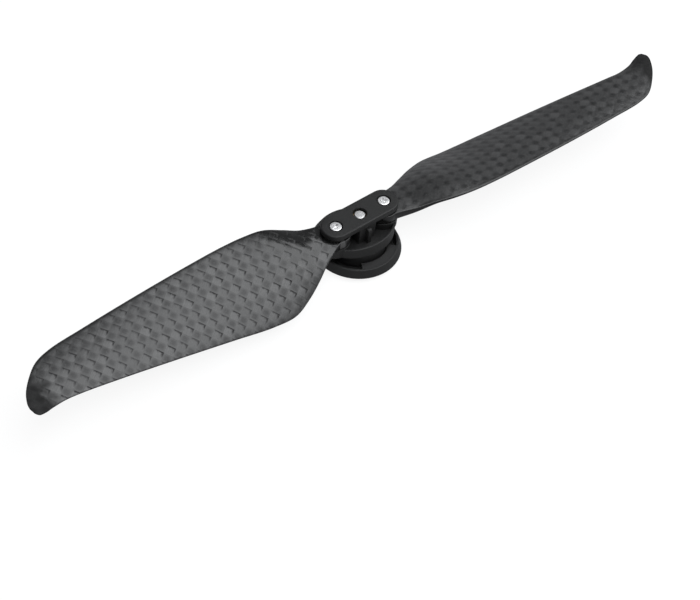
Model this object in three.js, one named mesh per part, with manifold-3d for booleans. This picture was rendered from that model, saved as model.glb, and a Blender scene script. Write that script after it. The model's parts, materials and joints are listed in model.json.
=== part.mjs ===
// Two-blade folding propeller with its quick-release mounting plate.
// Units are millimetres. The spin axis is Z, the mounting plate's underside is z = 0,
// the hub and the right blade point along +X, and the propeller turns clockwise seen from above.
import * as THREE from 'three';
import { mergeVertices } from 'three/addons/utils/BufferGeometryUtils.js';
import Module from 'manifold-3d';

const wasm = await Module();
wasm.setup();

// ---- driving dimensions -------------------------------------------------------------------
const SIDES = 36;                    // facets of a large round wall
const FEW_SIDES = 24;                // and of a small one
const FIT = 0.03;                    // gap between pieces that are pressed or stacked together
const RUN = 0.07;                    // radial clearance of pieces that turn or slide on each other
const INTO = 0.2;                    // how far joined solids reach into each other

const PIVOT_X = 7.1;                 // blade pivots, either side of the spin axis
const HUB_TOP = 11.8;                // upper face of the top plate
const RIGHT_BLADE_LEAD = 5.5;        // degrees that the right blade stands turned towards its leading edge

// mounting plate
const PLATE_R = 10.7;
const PLATE_TOP = 2.95;
const PLATE_TOP_R = 9.85;            // the side slopes in towards the top
const SPIGOT_R = 9.6;                // sits down inside the motor's bell
const SPIGOT_H = 1.0;
const PLATE_FLOOR = 0.9;
const RING_R = 9.3;                  // inner wall of the plate's outer ring
const HOOK_R = 7.5;                  // inner edge of the bayonet hooks
const HOOK_UNDER = 2.2;
const SECTOR = 120;                  // three hooks, three feet
const HOOK_FROM = -121;              // angles of the first sector, in degrees
const LAND_FROM = -84;               // the hub's foot stops at the land when locked
const LAND_TO = -47;
const PILOT_R = 0.65;                // screw holes from below, one in each land
const PILOT_CIRCLE_R = 8.4;
const PILOT_DEPTH = 2.4;
const SPRING_POST_R = 3.0;
const SPRING_POST_TOP = 3.0;

// centre pin, lift washer and spring
const PIN_R = 1.35;
const PIN_BOTTOM = 0.5;
const PIN_TOP = 11.35;
const WASHER_R = 5.3;
const WASHER_BOTTOM = 3.6;
const WASHER_TOP = 4.42;
const WIRE_R = 0.25;
const COIL_R = 4.2;
const COIL_TURNS = 3;

// hub base
const NECK_R = 7.1;
const NECK_BORE_R = 5.6;
const NECK_BOTTOM = 1.45;
const FOOT_R = 9.0;
const FOOT_TOP = 2.1;
const FOOT_ANGLE = 26;
const FOOT_CENTRE = -98;
const BASE_BOTTOM = 4.5;
const BASE_FLOOR = 5.6;
const BASE_RIM = 6.8;
const BASE_LOW = { a: 9.2, b: 7.1 };  // half axes of the oval at the bottom and at the rim
const BASE_HIGH = { a: 9.5, b: 6.45 };
const BASE_TURN = -7;                // degrees that the oval stands turned
const RIM_WALL = 0.6;
const BOSS_R = 3.75;
const BOSS_TOP = 7.4;
const WEB_X = 2.4;
const WEB_Y = 3.3;
const RIB_HALF = 0.55;
const RIB_REACH = 4.3;
const RIB_TOP = 9.8;

// top plate
const TOP_R = 3.5;
const TOP_UNDER = 10.3;
const CENTRE_HOLE_R = 1.65;
const HEAD_HOLE_R = 1.62;
const HEAD_SEAT = 10.95;

// pivot hardware
const SCREW_R = 1.0;
const SCREW_TIP = 5.25;
const HEAD_R = 1.4;
const HEAD_TOP = 11.7;
const RECESS_DEPTH = 0.45;
const RECESS_LENGTH = 1.7;
const RECESS_WIDTH = 0.42;
const INSERT_R = 1.9;
const INSERT_BOTTOM = 5.15;
const SLEEVE_R = 1.75;
const BUSH_R = 2.6;
const CENTRE_BUSH_R = 2.2;
const PIVOT_WASHER_R = 3.1;
const PIVOT_WASHER_T = 0.22;

// blade root
const ROOT_R = 3.85;
const ROOT_FLAT_R = 5.0;             // flat top of the root, which turns under the top plate
const ROOT_BOTTOM = 7.7;
const ROOT_TOP = 10.02;

// Blade stations from root to tip, from the pivot outwards. le and te are the leading and the
// trailing edge as [along the blade, across it, height above z = 0]; t is the thickness and c
// the bow of the section as a share of its chord.
const BLADE_STATIONS = [
  { le: [1.2, -3.65, 8.86], te: [1.2, 3.65, 8.86], t: 2.1, c: 0 },
  { le: [6.4, -4.9, 9.6], te: [6.0, 5.3, 7.7], t: 2.1, c: 0.03 },
  { le: [10.5, -6.3, 11.2], te: [10.0, 7.5, 6.5], t: 1.8, c: 0.07 },
  { le: [15.0, -7.9, 12.5], te: [14.5, 9.7, 5.5], t: 1.6, c: 0.085 },
  { le: [20.0, -8.5, 12.9], te: [19.5, 11.35, 4.6], t: 1.4, c: 0.07 },
  { le: [26.0, -8.6, 13.2], te: [25.5, 11.2, 4.8], t: 1.3, c: 0.05 },
  { le: [36.0, -8.2, 13.5], te: [36.0, 10.2, 6.6], t: 1.2, c: 0.04 },
  { le: [50.0, -7.35, 13.8], te: [50.0, 8.85, 9.0], t: 1.05, c: 0.035 },
  { le: [63.5, -6.25, 14.1], te: [63.0, 7.6, 11.05], t: 0.9, c: 0.035 },
  { le: [72.5, -5.3, 14.3], te: [72.0, 6.8, 12.3], t: 0.8, c: 0.035 },
  { le: [76.6, -3.95, 14.4], te: [76.0, 6.6, 12.7], t: 0.75, c: 0.035 },
  { le: [79.8, -1.3, 14.75], te: [79.4, 7.05, 13.2], t: 0.7, c: 0.035 },
  { le: [82.6, 2.0, 15.1], te: [81.5, 7.75, 13.95], t: 0.65, c: 0.035 },
  { le: [84.0, 4.8, 15.4], te: [83.2, 8.0, 14.7], t: 0.6, c: 0.035 },
  { le: [84.25, 6.1, 15.4], te: [83.9, 7.4, 15.05], t: 0.5, c: 0.035 },
];
const STEPS_PER_STATION = 3;
const SECTION_POINTS = 8;            // points from edge to edge on each face of a section
const EDGE_T = 0.4;                  // thickness of the leading and trailing edges

// ---- finishes -----------------------------------------------------------------------------
const finish = (color, roughness, metalness = 0) =>
  new THREE.MeshStandardMaterial({ color, roughness, metalness });
const carbon = () => finish(0x4a4c4e, 0.35);
const blackNylon = () => finish(0x1d1e1f, 0.45);
const steel = () => finish(0xc8cacc, 0.3, 1);
const brass = () => finish(0xb89a5a, 0.35, 1);
const paleNylon = () => finish(0xd8d6cc, 0.5);

// ---- solids -------------------------------------------------------------------------------
const radians = THREE.MathUtils.degToRad;

// Signed volume of an indexed geometry: positive when its faces point outwards.
function signedVolume(vertices, triangles) {
  const corner = (i) => new THREE.Vector3().fromArray(vertices, 3 * triangles[i]);
  let volume = 0;
  for (let i = 0; i < triangles.length; i += 3) {
    volume += corner(i).dot(corner(i + 1).cross(corner(i + 2))) / 6;
  }
  return volume;
}

// A closed geometry as a solid, with its faces turned outwards.
function solid(geometry) {
  const bare = geometry.clone();
  bare.deleteAttribute('normal');
  bare.deleteAttribute('uv');
  const merged = mergeVertices(bare, 1e-5);
  const vertProperties = Float32Array.from(merged.attributes.position.array);
  const triVerts = Uint32Array.from(merged.index.array);
  if (signedVolume(vertProperties, triVerts) < 0) {
    triVerts.reverse();
  }
  return new wasm.Manifold(new wasm.Mesh({ numProp: 3, vertProperties, triVerts }));
}

function geometryOf(body) {
  const { vertProperties, triVerts } = body.getMesh();
  const geometry = new THREE.BufferGeometry();
  geometry.setAttribute('position', new THREE.BufferAttribute(Float32Array.from(vertProperties), 3));
  geometry.setIndex(new THREE.BufferAttribute(Uint32Array.from(triVerts), 1));
  geometry.computeVertexNormals();
  return geometry;
}

function piece(name, body, material) {
  const mesh = new THREE.Mesh(geometryOf(body), material);
  mesh.name = name;
  return mesh;
}

function cylinder(r, z0, z1, x = 0, y = 0, sides = r > TOP_R ? SIDES : FEW_SIDES) {
  const geometry = new THREE.CylinderGeometry(r, r, z1 - z0, sides);
  geometry.rotateX(Math.PI / 2);
  geometry.translate(x, y, (z0 + z1) / 2);
  return solid(geometry);
}

function box(sizeX, sizeY, z0, z1, x = 0, y = 0) {
  const geometry = new THREE.BoxGeometry(sizeX, sizeY, z1 - z0);
  geometry.translate(x, y, (z0 + z1) / 2);
  return solid(geometry);
}

function tube(outer, inner, z0, z1) {
  return cylinder(outer, z0, z1).subtract(cylinder(inner, z0 - 1, z1 + 1));
}

// A profile of [radius, height] points turned round Z; it starts and ends on the axis.
function turned(profile) {
  const points = profile.map(([r, z]) => new THREE.Vector2(r, z));
  const widest = Math.max(...profile.map(([r]) => r));
  const geometry = new THREE.LatheGeometry(points, widest > TOP_R ? SIDES : FEW_SIDES);
  geometry.rotateX(Math.PI / 2);
  return solid(geometry);
}

// A stretch of a ring between two radii and two angles.
function ringSector(inner, outer, z0, z1, from, to) {
  const shape = new THREE.Shape();
  shape.absarc(0, 0, outer, radians(from), radians(to), false);
  shape.absarc(0, 0, inner, radians(to), radians(from), true);
  const geometry = new THREE.ExtrudeGeometry(shape, {
    depth: z1 - z0,
    bevelEnabled: false,
    curveSegments: 4,
  });
  geometry.translate(0, 0, z0);
  return solid(geometry);
}

// Closed skin over a row of rings, each a list of the same number of points.
function loft(rings) {
  const count = rings[0].length;
  const positions = rings.flat().flatMap((p) => [p.x, p.y, p.z]);
  const index = [];
  for (let i = 0; i + 1 < rings.length; i++) {
    for (let j = 0; j < count; j++) {
      const a = i * count + j;
      const b = i * count + ((j + 1) % count);
      index.push(a, b, b + count, a, b + count, a + count);
    }
  }
  const last = (rings.length - 1) * count;
  for (let j = 1; j + 1 < count; j++) {
    index.push(0, j + 1, j);
    index.push(last, last + j, last + j + 1);
  }
  const geometry = new THREE.BufferGeometry();
  geometry.setAttribute('position', new THREE.Float32BufferAttribute(positions, 3));
  geometry.setIndex(index);
  return solid(geometry);
}

function ovalRing(a, b, z) {
  const at = (i) => (i / SIDES) * 2 * Math.PI;
  return Array.from({ length: SIDES }, (_, i) =>
    new THREE.Vector3(a * Math.cos(at(i)), b * Math.sin(at(i)), z));
}

// Outline of the top plate: two half circles about the pivots, joined by straight sides.
function stadiumRing(inset, z) {
  const half = FEW_SIDES / 2;
  const r = TOP_R - inset;
  const end = (side) => Array.from({ length: half + 1 }, (_, i) => {
    const angle = (i / half - 0.5) * Math.PI;
    return new THREE.Vector3(side * (PIVOT_X + r * Math.cos(angle)), side * r * Math.sin(angle), z);
  });
  return [...end(1), ...end(-1)];
}

// ---- mounting plate -----------------------------------------------------------------------
function mountingPlate() {
  const pinHole = PIN_R + FIT;
  let body = turned([
    [0, 0], [SPIGOT_R, 0], [SPIGOT_R, SPIGOT_H], [PLATE_R, SPIGOT_H], [PLATE_R, SPIGOT_H + 0.2],
    [PLATE_TOP_R, PLATE_TOP], [RING_R, PLATE_TOP], [RING_R, PLATE_FLOOR],
    [SPRING_POST_R, PLATE_FLOOR], [SPRING_POST_R, SPRING_POST_TOP], [pinHole, SPRING_POST_TOP],
    [pinHole, PIN_BOTTOM - FIT], [0, PIN_BOTTOM - FIT],
  ]);
  const outer = RING_R + INTO;
  const low = PLATE_FLOOR - INTO;
  for (let k = 0; k < 3; k++) {
    const turn = k * SECTOR;
    const hook = ringSector(HOOK_R, outer, HOOK_UNDER, PLATE_TOP, HOOK_FROM + turn, LAND_TO + turn);
    const land = ringSector(HOOK_R, outer, low, PLATE_TOP, LAND_FROM + turn, LAND_TO + turn);
    const pilotAngle = radians((LAND_FROM + LAND_TO) / 2 + turn);
    const pilot = cylinder(PILOT_R, -1, PILOT_DEPTH, PILOT_CIRCLE_R * Math.cos(pilotAngle),
      PILOT_CIRCLE_R * Math.sin(pilotAngle), 12);
    body = body.add(hook).add(land).subtract(pilot);
  }
  return piece('mounting_plate', body, blackNylon());
}

function centrePin() {
  const chamfer = 0.2;
  const body = turned([
    [0, PIN_BOTTOM], [PIN_R, PIN_BOTTOM], [PIN_R, PIN_TOP - chamfer], [PIN_R - chamfer, PIN_TOP],
    [0, PIN_TOP],
  ]);
  return piece('centre_pin', body, steel());
}

// ---- lift washer and its spring -----------------------------------------------------------
class CoilCurve extends THREE.Curve {
  getPoint(t, target = new THREE.Vector3()) {
    const low = PLATE_FLOOR + WIRE_R + FIT;
    const high = WASHER_BOTTOM - WIRE_R - FIT;
    const angle = t * COIL_TURNS * 2 * Math.PI;
    return target.set(COIL_R * Math.cos(angle), COIL_R * Math.sin(angle), low + t * (high - low));
  }
}

function liftSpring() {
  const wire = new THREE.Shape();
  wire.absarc(0, 0, WIRE_R, 0, 2 * Math.PI, false);
  const geometry = new THREE.ExtrudeGeometry(wire, {
    steps: COIL_TURNS * 16,
    curveSegments: 4,
    bevelEnabled: false,
    extrudePath: new CoilCurve(),
  });
  return piece('lift_spring', solid(geometry), steel());
}

const liftWasher = () =>
  piece('lift_washer', tube(WASHER_R, PIN_R + RUN, WASHER_BOTTOM, WASHER_TOP), steel());

// ---- hub ----------------------------------------------------------------------------------
// Upright rib on the web's face; side is +1 or -1 along Y.
function rib(side) {
  const shape = new THREE.Shape();
  shape.moveTo(WEB_Y - INTO, BASE_BOTTOM + INTO);
  shape.lineTo(RIB_REACH, BASE_BOTTOM + INTO);
  shape.lineTo(RIB_REACH, RIB_TOP - 0.4);
  shape.lineTo(RIB_REACH - 0.4, RIB_TOP);
  shape.lineTo(WEB_Y - INTO, RIB_TOP);
  const geometry = new THREE.ExtrudeGeometry(shape, { depth: 2 * RIB_HALF, bevelEnabled: false });
  geometry.translate(0, 0, -RIB_HALF);
  geometry.rotateX(Math.PI / 2);
  geometry.rotateZ(side * Math.PI / 2);
  return solid(geometry);
}

function hubBase() {
  const outer = loft([
    ovalRing(BASE_LOW.a, BASE_LOW.b, BASE_BOTTOM),
    ovalRing(BASE_HIGH.a, BASE_HIGH.b, BASE_RIM),
  ]);
  const inner = loft([
    ovalRing(BASE_LOW.a - RIM_WALL, BASE_LOW.b - RIM_WALL, BASE_FLOOR),
    ovalRing(BASE_HIGH.a - RIM_WALL, BASE_HIGH.b - RIM_WALL, BASE_RIM + INTO),
  ]);
  let body = outer.subtract(inner).rotate([0, 0, BASE_TURN])
    .add(cylinder(NECK_R, NECK_BOTTOM, BASE_BOTTOM + INTO))
    .add(box(2 * WEB_X, 2 * WEB_Y, BASE_BOTTOM + INTO, TOP_UNDER - FIT))
    .add(rib(1))
    .add(rib(-1));
  for (const side of [-1, 1]) {
    body = body.add(cylinder(BOSS_R, BASE_BOTTOM + INTO, BOSS_TOP, side * PIVOT_X));
  }
  for (let k = 0; k < 3; k++) {
    const centre = FOOT_CENTRE + k * SECTOR;
    body = body.add(ringSector(NECK_R - INTO, FOOT_R, NECK_BOTTOM, FOOT_TOP,
      centre - FOOT_ANGLE / 2, centre + FOOT_ANGLE / 2));
  }
  body = body
    .subtract(cylinder(NECK_BORE_R, NECK_BOTTOM - 1, BASE_BOTTOM))
    .subtract(cylinder(CENTRE_BUSH_R + FIT, BASE_BOTTOM - 1, HUB_TOP));
  for (const side of [-1, 1]) {
    body = body.subtract(cylinder(INSERT_R + FIT, INSERT_BOTTOM - FIT, HUB_TOP, side * PIVOT_X));
  }
  return piece('hub_base', body, blackNylon());
}

const centreBush = () =>
  piece('centre_bush', tube(CENTRE_BUSH_R, PIN_R + RUN, BASE_BOTTOM + FIT, TOP_UNDER - FIT), brass());

function topPlate() {
  let body = loft([
    stadiumRing(0.15, TOP_UNDER),
    stadiumRing(0, TOP_UNDER + 0.15),
    stadiumRing(0, HUB_TOP - 0.5),
    stadiumRing(0.15, HUB_TOP - 0.15),
    stadiumRing(0.5, HUB_TOP),
  ]).subtract(cylinder(CENTRE_HOLE_R, TOP_UNDER - 1, HUB_TOP + 1));
  for (const side of [-1, 1]) {
    body = body
      .subtract(cylinder(SCREW_R + 0.1, TOP_UNDER - 1, HUB_TOP, side * PIVOT_X))
      .subtract(cylinder(HEAD_HOLE_R, HEAD_SEAT, HUB_TOP + 1, side * PIVOT_X));
  }
  return piece('top_plate', body, blackNylon());
}

// ---- what holds one blade; every piece is made about its own pivot at x = 0 ---------------
function pivotScrew(name) {
  const edge = 0.12;
  let body = turned([
    [0, SCREW_TIP], [SCREW_R - 0.2, SCREW_TIP], [SCREW_R, SCREW_TIP + 0.2],
    [SCREW_R, HEAD_SEAT + FIT], [HEAD_R, HEAD_SEAT + FIT], [HEAD_R, HEAD_TOP - edge],
    [HEAD_R - edge, HEAD_TOP], [0, HEAD_TOP],
  ]);
  const recessFloor = HEAD_TOP - RECESS_DEPTH;
  body = body
    .subtract(box(RECESS_LENGTH, RECESS_WIDTH, recessFloor, HEAD_TOP + 1))
    .subtract(box(RECESS_WIDTH, RECESS_LENGTH, recessFloor, HEAD_TOP + 1));
  return piece(name, body, steel());
}

function pivotHardware(side) {
  const group = new THREE.Group();
  const lowerWasher = BOSS_TOP + FIT;
  const upperWasher = ROOT_TOP + FIT;
  const sleeveBore = SCREW_R + RUN;
  const washer = (z) =>
    tube(PIVOT_WASHER_R, SLEEVE_R + RUN, z, z + PIVOT_WASHER_T);
  group.add(
    pivotScrew(`pivot_screw_${side}`),
    piece(`pivot_insert_${side}`, tube(INSERT_R, sleeveBore, INSERT_BOTTOM, BOSS_TOP - FIT), brass()),
    piece(`pivot_sleeve_${side}`, tube(SLEEVE_R, sleeveBore, BOSS_TOP, TOP_UNDER - FIT), steel()),
    piece(`washer_lower_${side}`, washer(lowerWasher), paleNylon()),
    piece(`washer_upper_${side}`, washer(upperWasher), paleNylon()),
  );
  return group;
}

// ---- blades -------------------------------------------------------------------------------
const edgeCurve = (key) => new THREE.CatmullRomCurve3(
  BLADE_STATIONS.map((station) => new THREE.Vector3(...station[key])), false, 'centripetal');

// A station's own number, read between two stations.
function numberAt(key, t) {
  const place = t * (BLADE_STATIONS.length - 1);
  const i = Math.min(Math.floor(place), BLADE_STATIONS.length - 2);
  return THREE.MathUtils.lerp(BLADE_STATIONS[i][key], BLADE_STATIONS[i + 1][key], place - i);
}

// One closed section: over the upper face from the leading edge, and back under the lower face.
function bladeSection(leading, trailing, thickness, camber) {
  const chord = trailing.clone().sub(leading);
  const up = new THREE.Vector3(1, 0, 0).cross(chord).normalize();
  const face = (s, side) => {
    const bulge = Math.pow(4 * s * (1 - s), 0.6);
    const half = (EDGE_T + (thickness - EDGE_T) * bulge) / 2;
    const bow = camber * chord.length() * 4 * s * (1 - s);
    return leading.clone().addScaledVector(chord, s).addScaledVector(up, bow + side * half);
  };
  const share = (i) => (1 - Math.cos((i / (SECTION_POINTS - 1)) * Math.PI)) / 2;
  const steps = Array.from({ length: SECTION_POINTS }, (_, i) => share(i));
  return [...steps.map((s) => face(s, 1)), ...steps.reverse().map((s) => face(s, -1))];
}

function bladeBody() {
  const leading = edgeCurve('le');
  const trailing = edgeCurve('te');
  const count = (BLADE_STATIONS.length - 1) * STEPS_PER_STATION;
  const sectionAt = (t) => bladeSection(leading.getPoint(t), trailing.getPoint(t),
    numberAt('t', t), numberAt('c', t));
  const sections = Array.from({ length: count + 1 }, (_, i) => sectionAt(i / count));
  return loft(sections)
    .add(cylinder(ROOT_R, ROOT_BOTTOM, ROOT_TOP))
    .subtract(cylinder(ROOT_FLAT_R, ROOT_TOP, 2 * HUB_TOP))
    .subtract(cylinder(BUSH_R + FIT, 0, HUB_TOP));
}

function blade(side) {
  const group = new THREE.Group();
  group.add(
    piece(`blade_${side}`, bladeBody(), carbon()),
    piece(`blade_bush_${side}`, tube(BUSH_R, SLEEVE_R + RUN, ROOT_BOTTOM, ROOT_TOP), paleNylon()),
  );
  return group;
}

// ---- assembly -----------------------------------------------------------------------------
const propeller = new THREE.Group();
propeller.add(mountingPlate(), centrePin(), liftSpring(), liftWasher());
propeller.add(hubBase(), centreBush(), topPlate());

for (const [side, sign, lead] of [['left', -1, 0], ['right', 1, RIGHT_BLADE_LEAD]]) {
  const hardware = pivotHardware(side);
  hardware.position.x = sign * PIVOT_X;
  const wing = blade(side);
  wing.position.x = sign * PIVOT_X;
  wing.rotation.z = (sign < 0 ? Math.PI : 0) - radians(lead);
  propeller.add(hardware, wing);
}

export default propeller;
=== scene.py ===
import json
import math

import bmesh
import bpy
import numpy as np
from mathutils import Matrix, Vector


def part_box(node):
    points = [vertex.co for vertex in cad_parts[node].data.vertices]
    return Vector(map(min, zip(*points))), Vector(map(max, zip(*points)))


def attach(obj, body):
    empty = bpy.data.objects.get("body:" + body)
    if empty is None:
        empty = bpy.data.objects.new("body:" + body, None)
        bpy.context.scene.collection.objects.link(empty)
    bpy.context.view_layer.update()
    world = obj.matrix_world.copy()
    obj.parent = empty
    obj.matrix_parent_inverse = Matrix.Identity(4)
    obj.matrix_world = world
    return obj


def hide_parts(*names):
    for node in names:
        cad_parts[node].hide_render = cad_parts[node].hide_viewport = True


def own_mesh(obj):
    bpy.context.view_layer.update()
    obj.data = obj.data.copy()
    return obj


# Fine surfaces, finishes, light and camera for the two-blade folding propeller.
# Meshes are worked out in millimetres in the row frame, and turned into metres when they are made.
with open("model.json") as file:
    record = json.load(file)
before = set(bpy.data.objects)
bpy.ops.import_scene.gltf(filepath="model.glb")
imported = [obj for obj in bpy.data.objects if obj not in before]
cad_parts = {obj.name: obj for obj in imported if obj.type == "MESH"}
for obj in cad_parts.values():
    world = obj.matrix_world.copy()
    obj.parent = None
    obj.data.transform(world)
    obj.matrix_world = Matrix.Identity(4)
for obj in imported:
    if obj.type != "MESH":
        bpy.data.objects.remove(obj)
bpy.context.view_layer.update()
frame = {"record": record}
MM = 0.001

RECORD = frame["record"]
BODY_OF = {n: body for body, names in RECORD["behaviour"]["bodies"].items() for n in names}
SLOT_OF = {part["node"]: part["material_slot"] for part in RECORD["subparts"]}


# Where a node is at rest, in millimetres: its corners, its middle and half its width.
def low(node):
    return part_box(node)[0] / MM


def high(node):
    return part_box(node)[1] / MM


def middle(node):
    return (low(node) + high(node)) / 2


def radius(node):
    return (high(node).x - low(node).x) / 2


# ---- mesh tools ---------------------------------------------------------------------------
def rounded(points, cut, closed=False, steps=4):
    """A line of points with its corners rounded; cut is how far before a corner the round starts."""
    points = [np.array(p, float) for p in points]
    made = []
    count = len(points)
    for i, corner in enumerate(points):
        if not closed and i in (0, count - 1):
            made.append(corner)
            continue
        before = points[i - 1] - corner
        after = points[(i + 1) % count] - corner
        start = corner + before * min(0.45, cut / np.linalg.norm(before))
        end = corner + after * min(0.45, cut / np.linalg.norm(after))
        for t in np.linspace(0, 1, steps + 1):
            made.append((1 - t) ** 2 * start + 2 * t * (1 - t) * corner + t * t * end)
    return made


def make_object(name, points, faces, uv_name=None, uvs=None):
    """A mesh object from points in millimetres; uvs holds one pair for each corner of each face."""
    mesh = bpy.data.meshes.new(name)
    mesh.from_pydata([Vector(p) * MM for p in points], [], faces)
    if uv_name:
        layer = mesh.uv_layers.new(name=uv_name)
        layer.data.foreach_set("uv", np.array(uvs, np.float32).ravel())
    piece = bpy.data.objects.new(name, mesh)
    bpy.context.scene.collection.objects.link(piece)
    return piece


def settle(piece):
    """Turns the modified shape of a piece into its own mesh."""
    graph = bpy.context.evaluated_depsgraph_get()
    graph.update()
    mesh = bpy.data.meshes.new_from_object(piece.evaluated_get(graph), depsgraph=graph)
    piece.modifiers.clear()
    piece.data = mesh
    return piece


def combine(base, others, operation="UNION"):
    """Joins or cuts solids, in millimetres, where the solver's tolerance is small beside the edges."""
    for piece in [base, *others]:
        piece.data.transform(Matrix.Scale(1 / MM, 4))
    for other in others:
        modifier = base.modifiers.new(operation, "BOOLEAN")
        modifier.operation = operation
        modifier.solver = "EXACT"
        modifier.object = other
    settle(base)
    base.data.transform(Matrix.Scale(MM, 4))
    for other in others:
        bpy.data.objects.remove(other)
    return base


def mend(piece, gap):
    """Welds points closer than gap and closes the slivers that a boolean left open."""
    mesh = bmesh.new()
    mesh.from_mesh(piece.data)
    bmesh.ops.remove_doubles(mesh, verts=mesh.verts, dist=gap * MM)
    bmesh.ops.dissolve_degenerate(mesh, edges=mesh.edges, dist=gap * MM)
    loose = [edge for edge in mesh.edges if len(edge.link_faces) == 1]
    bmesh.ops.holes_fill(mesh, edges=loose, sides=0)
    bmesh.ops.recalc_face_normals(mesh, faces=mesh.faces)
    mesh.to_mesh(piece.data)
    mesh.free()
    return piece


def bevel(piece, width):
    """Rounds a piece's sharp edges."""
    modifier = piece.modifiers.new("bevel", "BEVEL")
    modifier.width = width * MM
    modifier.segments = 2
    modifier.limit_method = "ANGLE"
    modifier.angle_limit = math.radians(40)
    return settle(piece)


def smooth(piece, angle=38):
    """Smooth shading, except where two faces meet at more than the angle in degrees."""
    piece.data.shade_smooth()
    piece.data.set_sharp_from_angle(angle=math.radians(angle))
    normals = piece.modifiers.new("normals", "WEIGHTED_NORMAL")
    normals.keep_sharp = True
    return settle(piece)


def loft(name, rings, uv_name="turned"):
    """Closed skin over rings of points, its ends closed by flat faces."""
    count = len(rings[0])
    points = [p for ring in rings for p in ring]
    faces = []
    uvs = []
    for i in range(len(rings) - 1):
        for j in range(count):
            k = (j + 1) % count
            faces.append((i * count + j, i * count + k, (i + 1) * count + k, (i + 1) * count + j))
            uvs += [(j / count, i), ((j + 1) / count, i), ((j + 1) / count, i + 1), (j / count, i + 1)]
    last = (len(rings) - 1) * count
    faces.append(tuple(reversed(range(count))))
    faces.append(tuple(range(last, last + count)))
    uvs += [(0, 0)] * (2 * count)
    return make_object(name, points, faces, uv_name, uvs)


def turned(name, profile, centre=(0, 0), sides=96):
    """A profile of (radius, height) or (half axis x, half axis y, height) turned about an upright line.

    It starts and ends on the line, or closes on itself. The map holds the share of a turn and the
    length along the profile in millimetres.
    """
    profile = [tuple(p) if len(p) == 3 else (p[0], p[0], p[1]) for p in profile]
    solid_core = profile[0][0] == 0
    if not solid_core:
        profile = [*profile, profile[0]]
    length = [0.0]
    for a, b in zip(profile, profile[1:]):
        length.append(length[-1] + math.hypot(b[0] - a[0], b[2] - a[2]))
    points = []
    rows = []
    for i, (a, b, z) in enumerate(profile):
        if not solid_core and i == len(profile) - 1:
            rows.append(rows[0])
        elif a == 0:
            rows.append([len(points)] * sides)
            points.append((centre[0], centre[1], z))
        else:
            rows.append(range(len(points), len(points) + sides))
            for j in range(sides):
                angle = 2 * math.pi * j / sides
                points.append((centre[0] + a * math.cos(angle), centre[1] + b * math.sin(angle), z))
    faces = []
    uvs = []
    for i in range(len(profile) - 1):
        for j in range(sides):
            k = (j + 1) % sides
            corners = [(rows[i][j], j, i), (rows[i][k], j + 1, i),
                       (rows[i + 1][k], j + 1, i + 1), (rows[i + 1][j], j, i + 1)]
            kept = []
            for corner in corners:
                if corner[0] not in [c[0] for c in kept]:
                    kept.append(corner)
            faces.append(tuple(c[0] for c in kept))
            uvs += [(c[1] / sides, length[c[2]]) for c in kept]
    return make_object(name, points, faces, "turned", uvs)


def ring(name, outer, inner, z0, z1, centre=(0, 0), edge=0.06, sides=72):
    """A round tube with its edges rounded."""
    corners = [(inner, z0), (outer, z0), (outer, z1), (inner, z1)]
    return turned(name, rounded(corners, edge, closed=True), centre, sides)


def rod(name, r, z0, z1, centre=(0, 0), edge=0.1, sides=72):
    return turned(name, rounded([(0, z0), (r, z0), (r, z1), (0, z1)], edge), centre, sides)


def prism(name, outline, z0, z1, edge):
    """An outline made solid between two heights, its edges rounded."""
    made = loft(name, [[(x, y, z0) for x, y in outline], [(x, y, z1) for x, y in outline]])
    return bevel(made, edge)


def arc(r, start, end, steps=24, centre=(0, 0)):
    angles = np.radians(np.linspace(start, end, steps + 1))
    return [(centre[0] + r * math.cos(a), centre[1] + r * math.sin(a)) for a in angles]


def sector(name, inner, outer, z0, z1, start, end):
    """Part of a round tube, between two angles in degrees."""
    outline = arc(outer, start, end) + arc(inner, end, start)
    return prism(name, outline, z0, z1, 0.1)


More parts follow.
